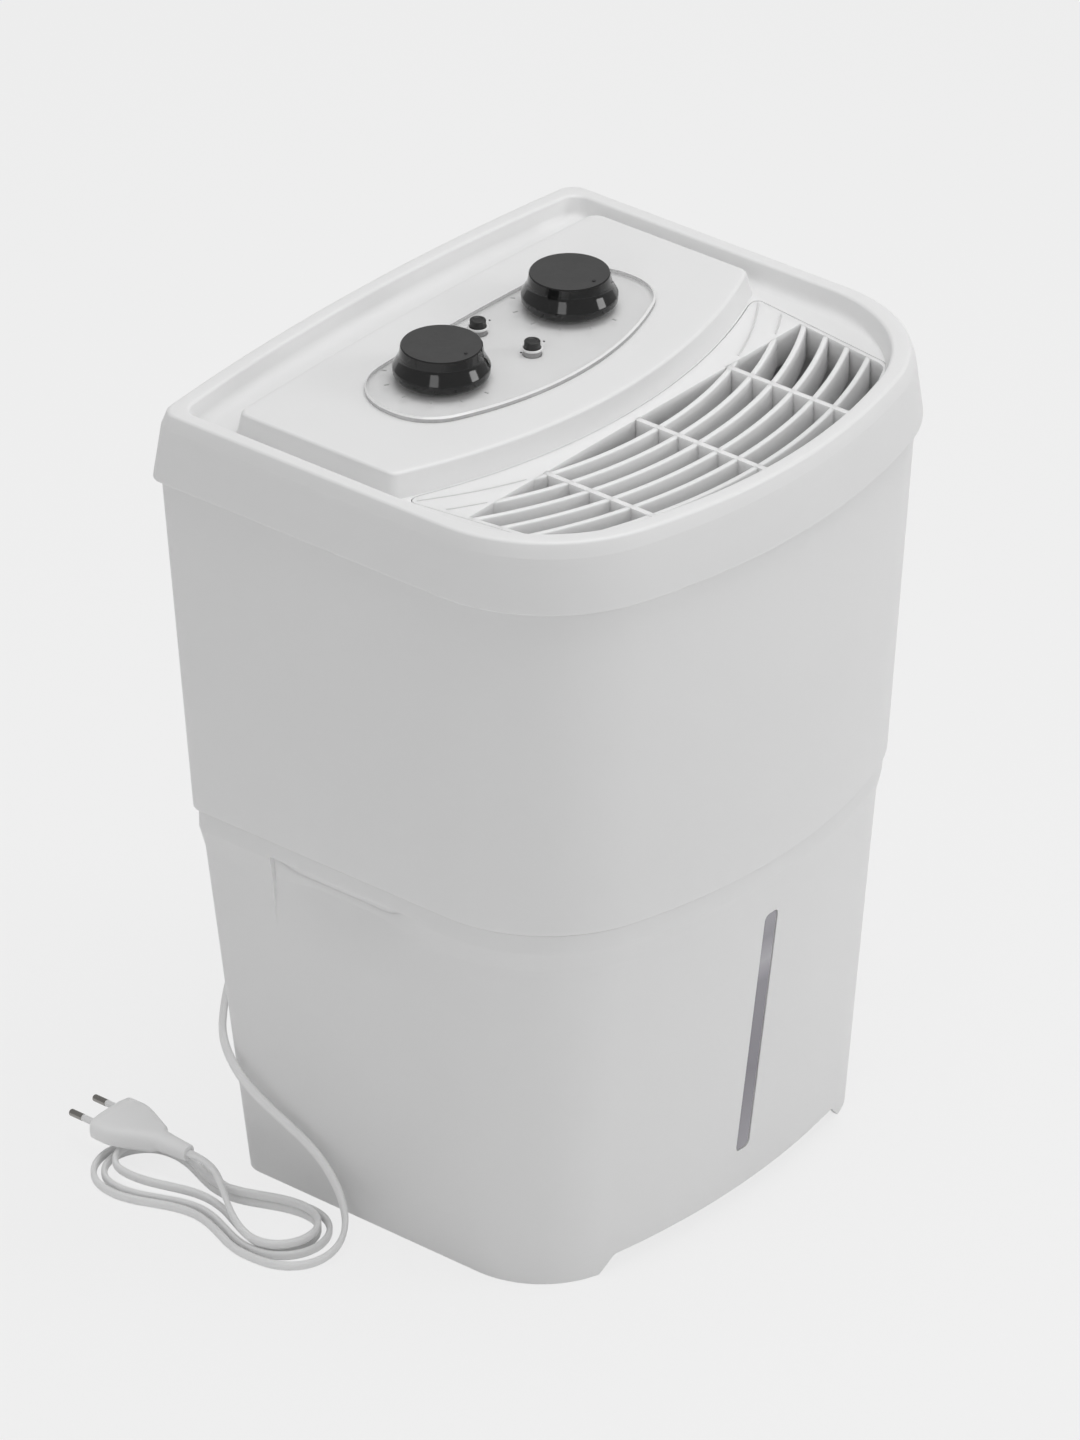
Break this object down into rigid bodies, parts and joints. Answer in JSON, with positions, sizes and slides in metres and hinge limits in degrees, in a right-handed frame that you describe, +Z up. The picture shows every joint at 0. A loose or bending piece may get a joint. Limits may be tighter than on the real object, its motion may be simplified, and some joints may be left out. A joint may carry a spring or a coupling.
{
  "type": "evaporative air washer",
  "caption": "White tower air washer on a tapered water tub, with two black knobs, two buttons and an arched outlet grille in its lid, a level window and a coiled mains lead",
  "frame": {"origin": "centre of the tub's foot, on the floor", "axes": "+Z up, -Y to the front where the level window and the outlet grille are, +X to the right as seen from behind the front"},
  "size_m": [0.3766, 0.3527, 0.4773],
  "materials": {
    "white_abs": "satin",
    "smoky_clear": "polished",
    "grey_rubber": "matte",
    "grey_plastic": "matte",
    "wick_felt": "matte",
    "white_cord": "satin",
    "pin_metal": "polished",
    "white_sleeve": "gloss",
    "clear_plate": "polished",
    "filter_mesh": "matte",
    "zinc_steel": "satin",
    "motor_steel": "satin",
    "board_green": "satin",
    "black_plastic": "satin",
    "float_foam": "matte"
  },
  "bodies": {
    "tank": {"tank_tub": "white_abs", "level_window": "smoky_clear", "window_gasket": "grey_rubber", "cassette_frame": "grey_plastic", "front_pad": "wick_felt", "rear_pad": "wick_felt", "cord_lead": "white_cord", "cord_hank": "white_cord", "plug_body": "white_cord", "plug_pins": "pin_metal", "pin_sleeves": "white_sleeve"},
    "upper_unit": {"casing": "white_abs", "lid": "white_abs", "outlet_grille": "white_abs", "panel_plate": "clear_plate", "button_collars": "white_abs", "intake_grille": "white_abs", "dust_filter": "filter_mesh", "fan_deck": "grey_plastic", "motor_bracket": "zinc_steel", "fan_motor": "motor_steel", "motor_screws": "zinc_steel", "control_board": "board_green", "speed_switch": "black_plastic", "humidistat": "black_plastic", "push_switches": "black_plastic", "board_screws": "zinc_steel", "terminal_block": "grey_plastic", "lid_screws": "zinc_steel", "float_stem": "grey_plastic", "float_stops": "grey_plastic", "float_nut": "grey_plastic", "cord_gland": "white_cord", "mains_tail": "white_cord", "motor_lead": "black_plastic"},
    "knob_left": {"left_knob": "black_plastic", "left_pointer": "white_sleeve", "left_spindle": "zinc_steel"},
    "knob_right": {"right_knob": "black_plastic", "right_pointer": "white_sleeve", "right_spindle": "zinc_steel"},
    "button_front": {"front_button": "black_plastic"},
    "button_rear": {"rear_button": "black_plastic"},
    "fan": {"fan_rotor": "grey_plastic", "motor_shaft": "zinc_steel"},
    "float_body": {"float": "float_foam"}
  },
  "joints": [
    {"name": "lift_off", "type": "slide", "parent": "tank", "child": "upper_unit", "axis": [0, 0, 1], "range_m": [0, 0.25]},
    {"name": "left_turn", "type": "hinge", "parent": "upper_unit", "child": "knob_left", "pos_m": [-0.051, 0.0443, 0.459], "axis": [0, 0, 1], "range_deg": [-270, 0]},
    {"name": "right_turn", "type": "hinge", "parent": "upper_unit", "child": "knob_right", "pos_m": [0.051, 0.0443, 0.459], "axis": [0, 0, 1], "range_deg": [-270, 0]},
    {"name": "front_press", "type": "slide", "parent": "upper_unit", "child": "button_front", "axis": [0, 0, -1], "range_m": [0, 0.0025], "stiffness_N_per_m": 400},
    {"name": "rear_press", "type": "slide", "parent": "upper_unit", "child": "button_rear", "axis": [0, 0, -1], "range_m": [0, 0.0025], "stiffness_N_per_m": 400},
    {"name": "fan_spin", "type": "hinge", "parent": "upper_unit", "child": "fan", "pos_m": [0, 0, 0.349], "axis": [0, 0, 1], "continuous": true},
    {"name": "float_rise", "type": "slide", "parent": "upper_unit", "child": "float_body", "axis": [0, 0, 1], "range_m": [0, 0.02]}
  ]
}
